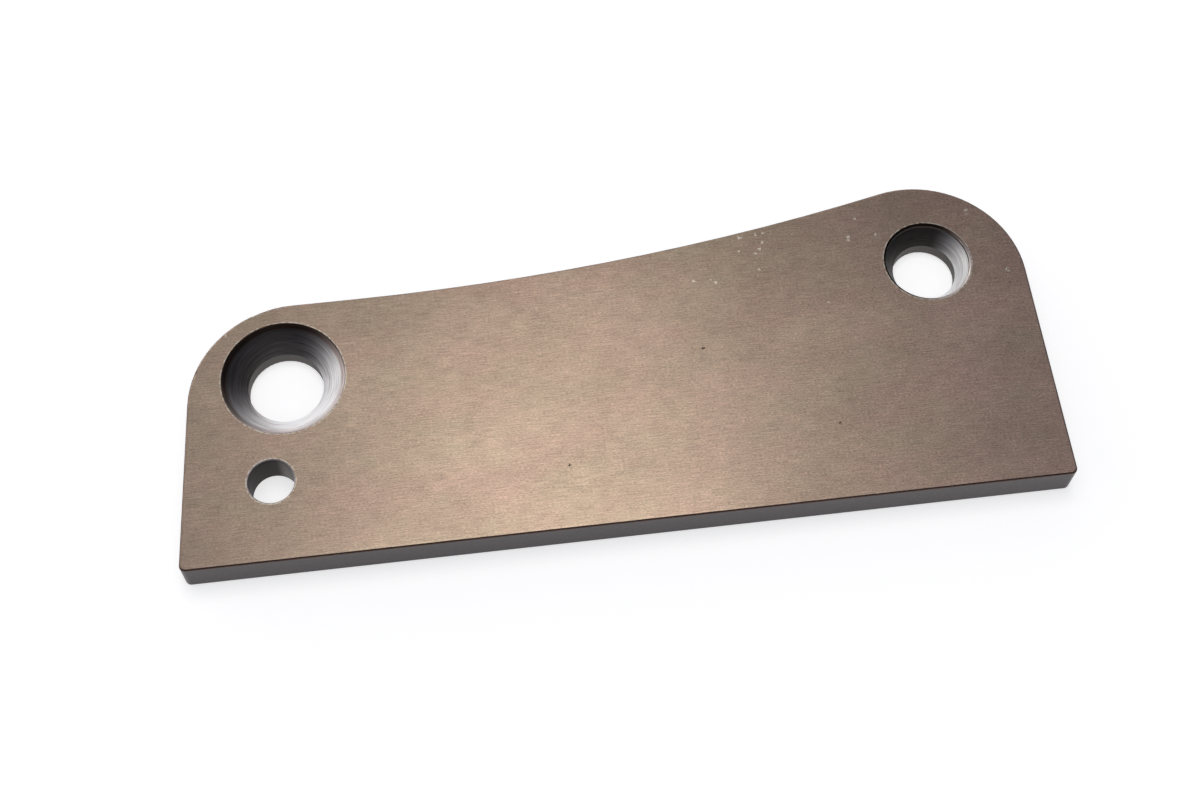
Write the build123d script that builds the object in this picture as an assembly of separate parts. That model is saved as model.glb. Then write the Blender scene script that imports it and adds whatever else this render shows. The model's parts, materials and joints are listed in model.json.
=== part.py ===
from build123d import *
import os
from math import asin, degrees, radians, tan

# Counter knife: the fixed blade that a moving knife shears against. It is one flat plate of ground
# tool steel, held down by two countersunk screws and located by one dowel pin.
# Millimetres. The plate is drawn with X along the cutting edge from its left end, Y towards the
# back edge and Z up from the underside.

# Plate
length = 112.0  # along the cutting edge
thickness = 5.0
back_height = 35.4  # from the cutting edge to the low, straight stretch of the back edge
back_rise = 8.4  # how much higher the crown of the right corner stands
rise_start = 23.7  # from the left end to where the back edge starts to climb
corner_radius = 14.0  # both back corners
end_lean = 4.2  # degrees that the left end leans in towards the back; the right end is square
front_corner_radius = 0.8  # both ends of the cutting edge, seen from above

# Left screw hole, for a countersunk M8: a 90 degree seat that opens at the top face
left_bore_radius = 4.85
left_head_radius = 7.8
left_seat_angle = 90.0
left_hole_from_end = 13.9
left_hole_from_back = 10.5

# Right screw hole, for a smaller head: a 60 degree seat below a short straight recess
right_bore_radius = 4.15
right_head_radius = 5.55
right_seat_angle = 60.0
right_recess_depth = 0.65
right_hole_from_end = 12.7
right_hole_from_crown = 11.45

# Dowel hole, straight through
dowel_bore_radius = 2.9
dowel_hole_from_end = 11.7
dowel_hole_from_front = 10.65

# Rounding that breaks the sharp edges
outline_break = 0.3
screw_hole_break = 0.25
dowel_hole_break = 0.12


def hollow_arc_size():
    """Radius and sweep of the hollow arc, which meets both the straight back edge and the right corner."""
    run = length - corner_radius - rise_start
    centre_distance = (run**2 + back_rise**2) / (2 * back_rise)
    return centre_distance - corner_radius, degrees(asin(run / centre_distance))


def plate_blank():
    """The outline seen from above, with its corners rounded, raised to the plate's thickness."""
    hollow_radius, climb = hollow_arc_size()
    front_left = (0, 0)
    front_right = (length, 0)
    back_left = (back_height * tan(radians(end_lean)), back_height)
    with BuildPart() as blank:
        with BuildSketch() as outline:
            with BuildLine():
                left_end = Line(front_left, back_left)
                back_edge = Line(left_end @ 1, (rise_start, back_height))
                hollow = JernArc(back_edge @ 1, back_edge % 1, hollow_radius, climb)
                crown = JernArc(hollow @ 1, hollow % 1, corner_radius, -(90 + climb))
                right_end = Line(crown @ 1, front_right)
                Line(right_end @ 1, front_left)
            make_face()
            fillet(outline.vertices().sort_by_distance(back_left)[0], corner_radius)
            fillet(outline.vertices().group_by(Axis.Y)[0], front_corner_radius)
        extrude(amount=thickness)
    return blank.part


def hole_places():
    """Centres of the two screw holes and of the dowel hole, on the top face."""
    crown_height = back_height + back_rise
    left_screw = (left_hole_from_end, back_height - left_hole_from_back, thickness)
    right_screw = (length - right_hole_from_end, crown_height - right_hole_from_crown, thickness)
    dowel = (dowel_hole_from_end, dowel_hole_from_front, thickness)
    return left_screw, right_screw, dowel


def flat_faces(part):
    """The underside and the top face."""
    faces = part.faces().sort_by(Axis.Z)
    return faces[0], faces[-1]


def hole_mouths(part, centre):
    """The circles where the hole at this centre opens in the underside and in the top face."""
    found = ShapeList()
    for face in flat_faces(part):
        rings = face.inner_wires().sort_by_distance(Vector(centre[0], centre[1], face.center().Z))
        found += rings[0].edges()
    return found


def knife_plate():
    """The blank with its three holes drilled and all its edges broken."""
    left_screw, right_screw, dowel = hole_places()
    with BuildPart() as knife:
        add(plate_blank())
        with Locations(left_screw):
            CounterSinkHole(left_bore_radius, left_head_radius, counter_sink_angle=left_seat_angle)
        with Locations(Vector(*right_screw) - Vector(0, 0, right_recess_depth)):
            CounterSinkHole(right_bore_radius, right_head_radius, counter_sink_angle=right_seat_angle)
        with Locations(dowel):
            Hole(dowel_bore_radius)
        outline_edges = ShapeList()
        for face in flat_faces(knife.part):
            outline_edges += face.outer_wire().edges()
        fillet(outline_edges, outline_break)
        for centre in (left_screw, right_screw):
            fillet(hole_mouths(knife.part, centre), screw_hole_break)
        fillet(hole_mouths(knife.part, dowel), dowel_hole_break)
    return knife.part


# The finished plate stands with the middle of its underside's box on the origin.
plate = knife_plate()
box = plate.bounding_box()
plate = plate.moved(Location((-box.center().X, -box.center().Y, -box.min.Z)))

os.makedirs("parts", exist_ok=True)
export_step(plate, "parts/knife_plate.step")
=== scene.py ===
import json
import math

import bpy
from mathutils import Matrix, Vector


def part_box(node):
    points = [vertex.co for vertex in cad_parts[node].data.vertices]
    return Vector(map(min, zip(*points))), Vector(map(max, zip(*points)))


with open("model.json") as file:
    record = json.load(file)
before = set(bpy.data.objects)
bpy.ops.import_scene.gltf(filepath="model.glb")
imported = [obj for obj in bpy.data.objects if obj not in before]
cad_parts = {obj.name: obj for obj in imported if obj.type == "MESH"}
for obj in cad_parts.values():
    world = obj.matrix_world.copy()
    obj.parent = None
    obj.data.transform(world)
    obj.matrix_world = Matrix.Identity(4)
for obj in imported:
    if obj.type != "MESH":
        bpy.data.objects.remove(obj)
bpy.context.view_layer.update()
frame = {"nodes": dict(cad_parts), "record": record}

# Camera. It stands over the cutting edge and looks down on the countersunk face. Its place was
# solved from the plate's straight edges and holes: the point of the top face that it aims at, how
# far off it stands, which way and how steeply it looks, and how far it is rolled.
mm = 0.001
plate_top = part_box("knife_plate")[1].z
aim = Vector((-2.395 * mm, -4.875 * mm, plate_top))
camera_distance = 234.75 * mm
camera_azimuth = math.radians(8.984)
camera_elevation = math.radians(63.825)
camera_roll = math.radians(2.056)
looking = Vector((
    math.sin(camera_azimuth) * math.cos(camera_elevation),
    math.cos(camera_azimuth) * math.cos(camera_elevation),
    -math.sin(camera_elevation),
))
bpy.ops.object.camera_add()
camera = bpy.context.object
camera.name = "camera"
camera.data.sensor_width = 36.0
camera.data.lens = 55.41
camera_turn = looking.to_track_quat("-Z", "Y").to_matrix() @ Matrix.Rotation(camera_roll, 3, "Z")
camera.matrix_world = Matrix.Translation(aim - looking * camera_distance) @ camera_turn.to_4x4()
bpy.context.scene.camera = camera

# Knife plate. One flat plate of hardened tool steel, surface-ground on both faces with the wheel
# running along the cutting edge. Use has browned its top face, and its two turned seats are painted
# lit on one side and shaded on the other. It comes whole from the CAD model, so only its finish is made
# here.
plate = frame["nodes"]["knife_plate"]
mounts = {mount["name"]: mount for mount in frame["record"]["mounts"]}


def linear(hex_colour):
    """An sRGB hex colour as the linear colour that a shader takes."""
    channels = [int(hex_colour[i:i + 2], 16) / 255 for i in (1, 3, 5)]
    return [c / 12.92 if c <= 0.04045 else ((c + 0.055) / 1.055) ** 2.4 for c in channels] + [1.0]


def add_node(owner, kind, settings=None, inputs=None):
    """Adds a node to a material or world. An input takes a number, a colour, a socket, or a node,
    whose first live output is then linked."""
    node = owner.node_tree.nodes.new("ShaderNode" + kind)
    for name, value in (settings or {}).items():
        setattr(node, name, value)
    sockets = {socket.identifier: socket for socket in node.inputs}
    for name, value in (inputs or {}).items():
        if isinstance(value, bpy.types.Node):
            value = next(socket for socket in value.outputs if socket.enabled)
        if isinstance(value, bpy.types.NodeSocket):
            owner.node_tree.links.new(value, sockets[name])
        else:
            sockets[name].default_value = value
    return node


# Ground tool steel, a metal at the default IOR. To the eye it is a satin sheet with a warm brown
# cast, which blurs light across the grinding lines more than along them. Its patterns are laid out
# in millimetres from the middle of the underside.
steel = bpy.data.materials.new("ground_tool_steel")
steel.use_nodes = True
steel.node_tree.nodes.clear()
coordinates = add_node(steel, "TexCoord")
place = add_node(steel, "VectorMath", {"operation": "SCALE"}, {
    "Vector": coordinates.outputs["Object"], "Scale": 1 / mm})
place_xyz = add_node(steel, "SeparateXYZ", inputs={"Vector": place})
place_x, place_y, height = (place_xyz.outputs[axis] for axis in "XYZ")
facing = add_node(steel, "SeparateXYZ", inputs={"Vector": coordinates.outputs["Normal"]})
level = add_node(steel, "Math", {"operation": "ABSOLUTE"}, {"Value": facing.outputs["Z"]})

# Zones, each 1 inside and 0 outside. Level is 1 on both faces and 0 on the walls and in the bores.
zones = {}
for zone, measure, test, limit in (
    ("flat", level, "GREATER_THAN", 0.9),
    ("upright", level, "LESS_THAN", 0.1),
    ("above_underside", height, "GREATER_THAN", 0.15),
    ("on_top", height, "GREATER_THAN", 4.8),
    ("right_half", place_x, "GREATER_THAN", 0.0),
    ("near_dowel", place_y, "LESS_THAN", -6.0),
):
    zones[zone] = add_node(steel, "Math", {"operation": test}, {"Value": measure, "Value_001": limit})

# How far a point lies outside the nearest hole, in millimetres, and negative within it. The radii
# take in the rounded edge of each mouth.
mouth_radii = {"left_screw_hole": 7.9, "right_screw_hole": 5.8, "dowel_hole": 3.02}
far_off = 99.0
seen_from_above = add_node(steel, "VectorMath", {"operation": "MULTIPLY"}, {
    "Vector": place, "Vector_001": (1, 1, 0)})
hole_centres = {}
past_mouth = far_off
for hole, mouth_radius in mouth_radii.items():
    x, y = mounts[hole]["pos_m"][:2]
    hole_centres[hole] = (x / mm, y / mm, 0)
    from_axis = add_node(steel, "VectorMath", {"operation": "DISTANCE"}, {
        "Vector": seen_from_above, "Vector_001": hole_centres[hole]})
    past_this = add_node(steel, "Math", {"operation": "SUBTRACT"}, {
        "Value": from_axis, "Value_001": mouth_radius})
    past_mouth = add_node(steel, "Math", {"operation": "MINIMUM"}, {
        "Value": past_this, "Value_001": past_mouth})
mouth_slack = 0.02
in_hole = add_node(steel, "Math", {"operation": "LESS_THAN"}, {
    "Value": past_mouth, "Value_001": mouth_slack})
in_hole = add_node(steel, "Math", {"operation": "MULTIPLY"}, {
    "Value": in_hole, "Value_001": zones["above_underside"]})

# Patterns. Each is a noise stretched to the marks' own size along X, Y and Z, in millimetres, with
# its detail and its roughness. The wheel's lines and the tool's rings are really under 0.05 mm wide
# and are drawn about three times as wide, so that they show.
endless = math.inf
patterns = {}
for pattern, mark_size, detail, breakup in (
    ("face_lines", (0.35, 0.14, endless), 5.0, 0.8),
    ("wall_lines", (0.35, 0.35, 0.14), 5.0, 0.8),
    ("streaks", (2.5, 0.14, endless), 3.0, 0.6),
    ("rings", (5.0, 5.0, 0.15), 3.0, 0.7),
    ("clouds", (14.0, 7.0, 7.0), 3.0, 0.7),
    ("flecks", (1.5, 1.5, 1.5), 3.0, 0.65),
    ("rim_breaks", (0.5, 0.5, 0.5), 2.0, 0.6),
    ("crumbs", (0.25, 0.25, 0.25), 2.0, 0.7),
):
    stretched = add_node(steel, "VectorMath", {"operation": "MULTIPLY"}, {
        "Vector": place, "Vector_001": [1 / size for size in mark_size]})
    patterns[pattern] = add_node(steel, "TexNoise", inputs={
        "Vector": stretched, "Scale": 1.0, "Detail": detail, "Roughness": breakup})
patterns["grain"] = add_node(steel, "Mix", {"data_type": "FLOAT"}, {
    "Factor_Float": zones["flat"], "A_Float": patterns["wall_lines"], "B_Float": patterns["face_lines"]})

# What each pattern does to the steel's tone, or to a mark's radius in millimetres, between the
# values that most of a noise lies within
noise_low, noise_high = 0.3, 0.7
tones = {}
for pattern, at_low, at_high in (
    ("grain", 0.0, 2.0),
    ("streaks", 0.81, 1.19),
    ("rings", 0.60, 1.40),
    ("clouds", 0.91, 1.09),
    ("flecks", 1.06, 0.94),
    ("crumbs", -0.20, 0.20),
):
    tones[pattern] = add_node(steel, "MapRange", {"clamp": False}, {
        "Value": patterns[pattern], "From Min": noise_low, "From Max": noise_high,
        "To Min": at_low, "To Max": at_high})

# What changes slowly over the plate: along what, between which places in millimetres, and from what
# to what. The grain deepens and the brown turns plum towards the right end. Painted shade darkens
# the face towards the back, painted light brightens a seat down its slope, and painted shade darkens
# a wall towards its foot. A wall has a brown film along its top, and a painted reflection lightens
# the dowel hole's wall on its right.
changes = {}
for change, measure, begins, ends, at_first, at_last in (
    ("grain_depth", place_x, 0.0, 40.0, 0.40, 0.52),
    ("towards_plum", place_x, 20.0, 56.0, -0.37, -0.03),
    ("painted_back_shade", place_y, 2.0, 21.0, 1.0, 0.78),
    ("painted_seat_depth_light", height, 2.0, 4.9, 1.48, 0.78),
    ("painted_wall_shade", height, 0.5, 4.8, 0.66, 1.10),
    ("edge_film", height, 4.6, 4.8, 0.0, 1.0),
    ("dowel_reflection_ramp", place_x, -43.7, -42.8, 0.0, 1.0),
):
    changes[change] = add_node(steel, "MapRange", inputs={
        "Value": measure, "From Min": begins, "From Max": ends, "To Min": at_first, "To Max": at_last})

# Faces. The browning of the top comes and goes in long clouds with small flecks in them, between
# olive and plum. The underside is barer and plainer, at about a third of the pattern's strength.
olive_brown = linear("#C3B094")
plum_brown = linear("#CDAB97")
bare_grey = linear("#A9A39C")
cloud_share, fleck_share = 1.5, 0.25
underside_strength = 0.35
strength = add_node(steel, "MapRange", inputs={
    "Value": zones["above_underside"], "To Min": underside_strength, "To Max": 1.0})
cloud_hues = add_node(steel, "SeparateXYZ", inputs={"Vector": patterns["clouds"].outputs["Color"]})
browning = add_node(steel, "Math", {"operation": "MULTIPLY_ADD"}, {
    "Value": cloud_hues.outputs["Y"], "Value_001": cloud_share, "Value_002": changes["towards_plum"]})
browning = add_node(steel, "Math", {"operation": "MULTIPLY_ADD"}, {
    "Value": patterns["flecks"], "Value_001": fleck_share, "Value_002": browning})
face_colour = add_node(steel, "Mix", {"data_type": "RGBA", "clamp_factor": True}, {
    "Factor_Float": browning, "A_Color": olive_brown, "B_Color": plum_brown})
face_colour = add_node(steel, "Mix", {"data_type": "RGBA"}, {
    "Factor_Float": zones["above_underside"], "A_Color": bare_grey, "B_Color": face_colour})
# The face is painted darker towards the back, a painted shade of the sheen's falloff.
face_tone = changes["painted_back_shade"]
for pattern in ("clouds", "flecks", "streaks"):
    face_tone = add_node(steel, "Math", {"operation": "MULTIPLY"}, {
        "Value": face_tone, "Value_001": tones[pattern]})
face_tone = add_node(steel, "Mix", {"data_type": "FLOAT"}, {
    "Factor_Float": strength, "A_Float": 1.0, "B_Float": face_tone})
face_colour = add_node(steel, "VectorMath", {"operation": "SCALE"}, {
    "Vector": face_colour, "Scale": face_tone})

# Outer walls. They keep a dark grey film, with a thin brown line where it meets the face, part of
# the way over the broken edge.
wall_film = linear("#3F393A")
brown_line = linear("#493A34")
face_begins, face_full = 0.88, 0.95
wall_colour = add_node(steel, "Mix", {"data_type": "RGBA"}, {
    "Factor_Float": changes["edge_film"], "A_Color": wall_film, "B_Color": brown_line})
# The walls are painted darker towards their foot, a painted shade.
wall_colour = add_node(steel, "VectorMath", {"operation": "SCALE"}, {
    "Vector": wall_colour, "Scale": changes["painted_wall_shade"]})
on_face = add_node(steel, "MapRange", {"interpolation_type": "SMOOTHSTEP"}, {
    "Value": level, "From Min": face_begins, "From Max": face_full})
outside_colour = add_node(steel, "Mix", {"data_type": "RGBA"}, {
    "Factor_Float": on_face, "A_Color": wall_colour, "B_Color": face_colour})
grain_depth = add_node(steel, "Math", {"operation": "MULTIPLY"}, {
    "Value": changes["grain_depth"], "Value_001": strength})
grain_tone = add_node(steel, "Mix", {"data_type": "FLOAT"}, {
    "Factor_Float": grain_depth, "A_Float": 1.0, "B_Float": tones["grain"]})
outside_colour = add_node(steel, "VectorMath", {"operation": "SCALE"}, {
    "Vector": outside_colour, "Scale": grain_tone})

# Seats. Their turning marks are rings. Each seat is painted with light on its front right side and
# with painted shade on the rest, darker on the steep seat of the right hole.
left_seat_painted_shade, right_seat_painted_shade = linear("#56504D"), linear("#383432")
left_seat_painted_light, right_seat_painted_light = linear("#EAE6E6"), linear("#F2EEEC")
left_lit_side, right_lit_side = (0.45, -0.89, 0), (0.71, -0.71, 0)
left_light_begins, right_light_begins = -0.75, -0.42
light_full = 1.0
seat_centre = add_node(steel, "Mix", {"data_type": "VECTOR"}, {
    "Factor_Float": zones["right_half"],
    "A_Vector": hole_centres["left_screw_hole"], "B_Vector": hole_centres["right_screw_hole"]})
from_centre = add_node(steel, "VectorMath", {"operation": "SUBTRACT"}, {
    "Vector": seen_from_above, "Vector_001": seat_centre})
from_centre = add_node(steel, "VectorMath", {"operation": "NORMALIZE"}, {"Vector": from_centre})
lit_side = add_node(steel, "Mix", {"data_type": "VECTOR"}, {
    "Factor_Float": zones["right_half"], "A_Vector": left_lit_side, "B_Vector": right_lit_side})
light_begins = add_node(steel, "Mix", {"data_type": "FLOAT"}, {
    "Factor_Float": zones["right_half"], "A_Float": left_light_begins, "B_Float": right_light_begins})
seat_lit = add_node(steel, "VectorMath", {"operation": "DOT_PRODUCT"}, {
    "Vector": from_centre, "Vector_001": lit_side})
seat_lit = add_node(steel, "MapRange", {"interpolation_type": "SMOOTHSTEP"}, {
    "Value": seat_lit, "From Min": light_begins, "From Max": light_full})
seat_painted_shade = add_node(steel, "Mix", {"data_type": "RGBA"}, {
    "Factor_Float": zones["right_half"], "A_Color": left_seat_painted_shade, "B_Color": right_seat_painted_shade})
seat_painted_light = add_node(steel, "Mix", {"data_type": "RGBA"}, {
    "Factor_Float": zones["right_half"], "A_Color": left_seat_painted_light, "B_Color": right_seat_painted_light})
seat_colour = add_node(steel, "Mix", {"data_type": "RGBA"}, {
    "Factor_Float": seat_lit, "A_Color": seat_painted_shade, "B_Color": seat_painted_light})
# Each seat is painted lighter down its slope, painted light.
seat_tone = add_node(steel, "Math", {"operation": "MULTIPLY"}, {
    "Value": changes["painted_seat_depth_light"], "Value_001": tones["rings"]})
seat_colour = add_node(steel, "VectorMath", {"operation": "SCALE"}, {
    "Vector": seat_colour, "Scale": seat_tone})

# Bores. They keep a dull grey film. A painted reflection lightens the dowel hole's wall on its right, so
# its left is darkest.
screw_bore_film = linear("#5A5654")
dowel_left_film, dowel_painted_reflection = linear("#3A3635"), linear("#77716F")
dowel_film_and_reflection = add_node(steel, "Mix", {"data_type": "RGBA"}, {
    "Factor_Float": changes["dowel_reflection_ramp"], "A_Color": dowel_left_film, "B_Color": dowel_painted_reflection})
bore_colour = add_node(steel, "Mix", {"data_type": "RGBA"}, {
    "Factor_Float": zones["near_dowel"], "A_Color": screw_bore_film, "B_Color": dowel_film_and_reflection})
hole_colour = add_node(steel, "Mix", {"data_type": "RGBA"}, {
    "Factor_Float": zones["upright"], "A_Color": seat_colour, "B_Color": bore_colour})
colour = add_node(steel, "Mix", {"data_type": "RGBA"}, {
    "Factor_Float": in_hole, "A_Color": outside_colour, "B_Color": hole_colour})

# Lip of each hole: a brown band for the first half millimetre down, half gone on the seat's painted lit
# side
lip_brown = linear("#BCA396")
lip_ends, lip_full = 4.35, 4.65
lip_where_lit = 0.5
lip = add_node(steel, "MapRange", {"interpolation_type": "SMOOTHSTEP"}, {
    "Value": height, "From Min": lip_ends, "From Max": lip_full})
lip_kept = add_node(steel, "MapRange", inputs={
    "Value": seat_lit, "To Min": 1.0, "To Max": lip_where_lit})
for limit in (lip_kept, in_hole):
    lip = add_node(steel, "Math", {"operation": "MULTIPLY"}, {"Value": lip, "Value_001": limit})
colour = add_node(steel, "Mix", {"data_type": "RGBA", "blend_type": "MULTIPLY"}, {
    "Factor_Float": lip, "A_Color": colour, "B_Color": lip_brown})

# Rim of each hole: a fine ring of raised metal on the face, coloured as a painted highlight of its rounded
# edge, bright in some places and gone in others
rim_painted_highlight = linear("#ECDFC9")
rim_middle, rim_half_width = 0.10, 0.08
rim_gone, rim_full = 0.42, 0.56
rim_highlight = add_node(steel, "Math", {"operation": "COMPARE"}, {
    "Value": past_mouth, "Value_001": rim_middle, "Value_002": rim_half_width})
rim_highlight_kept = add_node(steel, "MapRange", {"interpolation_type": "SMOOTHSTEP"}, {
    "Value": patterns["rim_breaks"], "From Min": rim_gone, "From Max": rim_full})
for limit in (rim_highlight_kept, zones["on_top"]):
    rim_highlight = add_node(steel, "Math", {"operation": "MULTIPLY"}, {"Value": rim_highlight, "Value_001": limit})
colour = add_node(steel, "Mix", {"data_type": "RGBA"}, {
    "Factor_Float": rim_highlight, "A_Color": colour, "B_Color": rim_painted_highlight})

# Marks of use on the top face: bright nicks near the hollow edge and the crown, and dark pits. Each
# has its place along X and Y and its radius, in millimetres, and a ragged outline.
nick_bright = linear("#F3E6CF")
pit_dark = linear("#4A3C34")
nicks = (
    (12.0, 11.0, 0.18), (14.3, 10.9, 0.12), (14.8, 10.4, 0.21), (19.0, 16.8, 0.24), (18.6, 14.7, 0.15),
    (21.2, 17.1, 0.14), (22.2, 17.2, 0.12), (21.9, 15.8, 0.18), (21.4, 14.8, 0.17), (20.7, 14.2, 0.15),
    (20.8, 11.7, 0.15), (33.4, 15.3, 0.21), (33.4, 14.8, 0.18), (34.8, 18.0, 0.17), (37.1, 15.2, 0.18),
    (49.9, 17.6, 0.20), (49.9, 17.1, 0.14), (53.4, 8.1, 0.17), (53.6, 7.8, 0.14), (29.1, 5.8, 0.14),
    (-50.6, 10.2, 0.18), (-49.2, 9.9, 0.15),
)
pits = ((-7.2, -13.4, 0.16), (11.8, 1.0, 0.17), (27.5, -11.6, 0.12))
for marks, mark_colour in ((nicks, nick_bright), (pits, pit_dark)):
    past_mark = far_off
    for x, y, radius in marks:
        from_mark = add_node(steel, "VectorMath", {"operation": "DISTANCE"}, {
            "Vector": seen_from_above, "Vector_001": (x, y, 0)})
        past_this = add_node(steel, "Math", {"operation": "SUBTRACT"}, {
            "Value": from_mark, "Value_001": radius})
        past_mark = add_node(steel, "Math", {"operation": "MINIMUM"}, {
            "Value": past_this, "Value_001": past_mark})
    marked = add_node(steel, "Math", {"operation": "LESS_THAN"}, {
        "Value": past_mark, "Value_001": tones["crumbs"]})
    marked = add_node(steel, "Math", {"operation": "MULTIPLY"}, {
        "Value": marked, "Value_001": zones["on_top"]})
    colour = add_node(steel, "Mix", {"data_type": "RGBA"}, {
        "Factor_Float": marked, "A_Color": colour, "B_Color": mark_colour})

# Gloss. Light is blurred most across the lines, which is along Y on the faces and up and down on
# the walls. The seats and bores are rougher than the ground faces.
face_roughness = 0.394
left_seat_roughness, right_seat_roughness = 0.42, 0.50
bore_roughness = 0.60
line_strength = 0.444
across_lines = add_node(steel, "Mix", {"data_type": "VECTOR"}, {
    "Factor_Float": zones["flat"], "A_Vector": (0, 0, 1), "B_Vector": (0, 1, 0)})
hole_roughness = add_node(steel, "Mix", {"data_type": "FLOAT"}, {
    "Factor_Float": zones["right_half"], "A_Float": left_seat_roughness, "B_Float": right_seat_roughness})
hole_roughness = add_node(steel, "Mix", {"data_type": "FLOAT"}, {
    "Factor_Float": zones["upright"], "A_Float": hole_roughness, "B_Float": bore_roughness})
roughness = add_node(steel, "Mix", {"data_type": "FLOAT"}, {
    "Factor_Float": in_hole, "A_Float": face_roughness, "B_Float": hole_roughness})
surface = add_node(steel, "BsdfPrincipled", inputs={
    "Base Color": colour, "Metallic": 1.0, "Roughness": roughness, "Anisotropic": line_strength,
    "Tangent": across_lines})
add_node(steel, "OutputMaterial", inputs={"Surface": surface})
plate.material_slots[0].material = steel

# Table. A sheet of matte white paper that runs out of sight on all sides, a hair below the plate.
# It is lifted to white where the camera or the steel sees it, and keeps the soft shade that the
# plate casts. From below it can be seen through, so that the underside shows.
table_width = 6.0
gap_below_plate = 0.05 * mm
paper_white = linear("#E3E0DC")
lift_to_camera, lift_to_steel = 0.585, 0.85
bpy.ops.object.select_all(action="DESELECT")
bpy.ops.mesh.primitive_plane_add(size=table_width, location=(0, 0, -gap_below_plate))
table = bpy.context.object
table.name = "table"
paper = bpy.data.materials.new("white_paper")
paper.use_nodes = True
paper.node_tree.nodes.clear()
ray = add_node(paper, "LightPath")
lift = add_node(paper, "Math", {"operation": "MULTIPLY"}, {
    "Value": ray.outputs["Is Camera Ray"], "Value_001": lift_to_camera})
lift = add_node(paper, "Math", {"operation": "MULTIPLY_ADD"}, {
    "Value": ray.outputs["Is Glossy Ray"], "Value_001": lift_to_steel, "Value_002": lift})
sheet = add_node(paper, "BsdfDiffuse", inputs={"Color": paper_white})
glow = add_node(paper, "Emission", inputs={"Strength": lift})
from_above = add_node(paper, "AddShader", inputs={"Shader": sheet, "Shader_001": glow})
from_below = add_node(paper, "BsdfTransparent")
side = add_node(paper, "NewGeometry")
paper_surface = add_node(paper, "MixShader", inputs={
    "Fac": side.outputs["Backfacing"], "Shader": from_above, "Shader_001": from_below})
add_node(paper, "OutputMaterial", inputs={"Surface": paper_surface})
table.data.materials.append(paper)

# Studio lamps, hung over the plate, each with its width and depth in metres, its brightness and its
# place. The softbox gives the broad sheen in the middle of the ground face. The paper light reaches
# the matte paper alone, because the steel has no matte part and doesn't mirror it.
for name, width, depth, radiance, lamp_place, mirrored in (
    ("softbox", 0.103, 0.60, 4.18, (0.013, -0.009, 0.62), True),
    ("paper_light", 0.50, 0.50, 1.0, (-0.05, 0.08, 0.60), False),
):
    bpy.ops.object.light_add(type="AREA", location=lamp_place)
    lamp = bpy.context.object
    lamp.name = name
    lamp.data.shape = "RECTANGLE"
    lamp.data.size = width
    lamp.data.size_y = depth
    lamp.data.energy = radiance * math.pi * width * depth
    lamp.visible_glossy = mirrored
    lamp.visible_camera = False

# Room. A low light wall stands behind the plate on the left, which the steel sees stronger than the
# paper does, and a dim cool sky is a little brighter overhead. The camera sees white.
wall_middle = (-0.66, 0.75, 0.0)
wall_narrowness, wall_lowness = 4.2, 8.0
wall_to_paper, wall_to_steel = 2.5, 6.0
sky_middle = (-0.06, -0.2, 0.98)
sky_fades, sky_full = 0.69, 0.87
sky_around, sky_overhead = 0.18, 0.29
sky_colour = linear("#DAE5FF")[:3]
backdrop_white = linear("#FFFFFF")
room = bpy.data.worlds.new("room")
bpy.context.scene.world = room
room.use_nodes = True
room.node_tree.nodes.clear()
way = add_node(room, "TexCoord").outputs["Generated"]
way_xyz = add_node(room, "SeparateXYZ", inputs={"Vector": way})
room_ray = add_node(room, "LightPath")
towards_wall = add_node(room, "VectorMath", {"operation": "DOT_PRODUCT"}, {
    "Vector": way, "Vector_001": wall_middle})
wall = add_node(room, "MapRange", inputs={"Value": towards_wall, "From Min": -1.0, "From Max": 1.0})
wall = add_node(room, "Math", {"operation": "POWER"}, {"Value": wall, "Value_001": wall_narrowness})
steepness = add_node(room, "Math", {"operation": "MULTIPLY"}, {
    "Value": way_xyz.outputs["Z"], "Value_001": way_xyz.outputs["Z"]})
low = add_node(room, "Math", {"operation": "SUBTRACT"}, {"Value": 1.0, "Value_001": steepness})
low = add_node(room, "Math", {"operation": "POWER"}, {"Value": low, "Value_001": wall_lowness})
wall_strength = add_node(room, "Mix", {"data_type": "FLOAT"}, {
    "Factor_Float": room_ray.outputs["Is Glossy Ray"], "A_Float": wall_to_paper, "B_Float": wall_to_steel})
for limit in (low, wall_strength):
    wall = add_node(room, "Math", {"operation": "MULTIPLY"}, {"Value": wall, "Value_001": limit})
sky = add_node(room, "VectorMath", {"operation": "DOT_PRODUCT"}, {
    "Vector": way, "Vector_001": sky_middle})
sky = add_node(room, "MapRange", inputs={
    "Value": sky, "From Min": sky_fades, "From Max": sky_full, "To Min": sky_around,
    "To Max": sky_overhead})
sky = add_node(room, "VectorMath", {"operation": "SCALE"}, {"Vector": sky_colour, "Scale": sky})
walls_and_sky = add_node(room, "VectorMath", {"operation": "ADD"}, {"Vector": sky, "Vector_001": wall})
room_colour = add_node(room, "Mix", {"data_type": "RGBA"}, {
    "Factor_Float": room_ray.outputs["Is Camera Ray"], "A_Color": walls_and_sky,
    "B_Color": backdrop_white})
background = add_node(room, "Background", inputs={"Color": room_colour})
add_node(room, "OutputWorld", inputs={"Surface": background})

bpy.context.scene.view_settings.view_transform = "Standard"
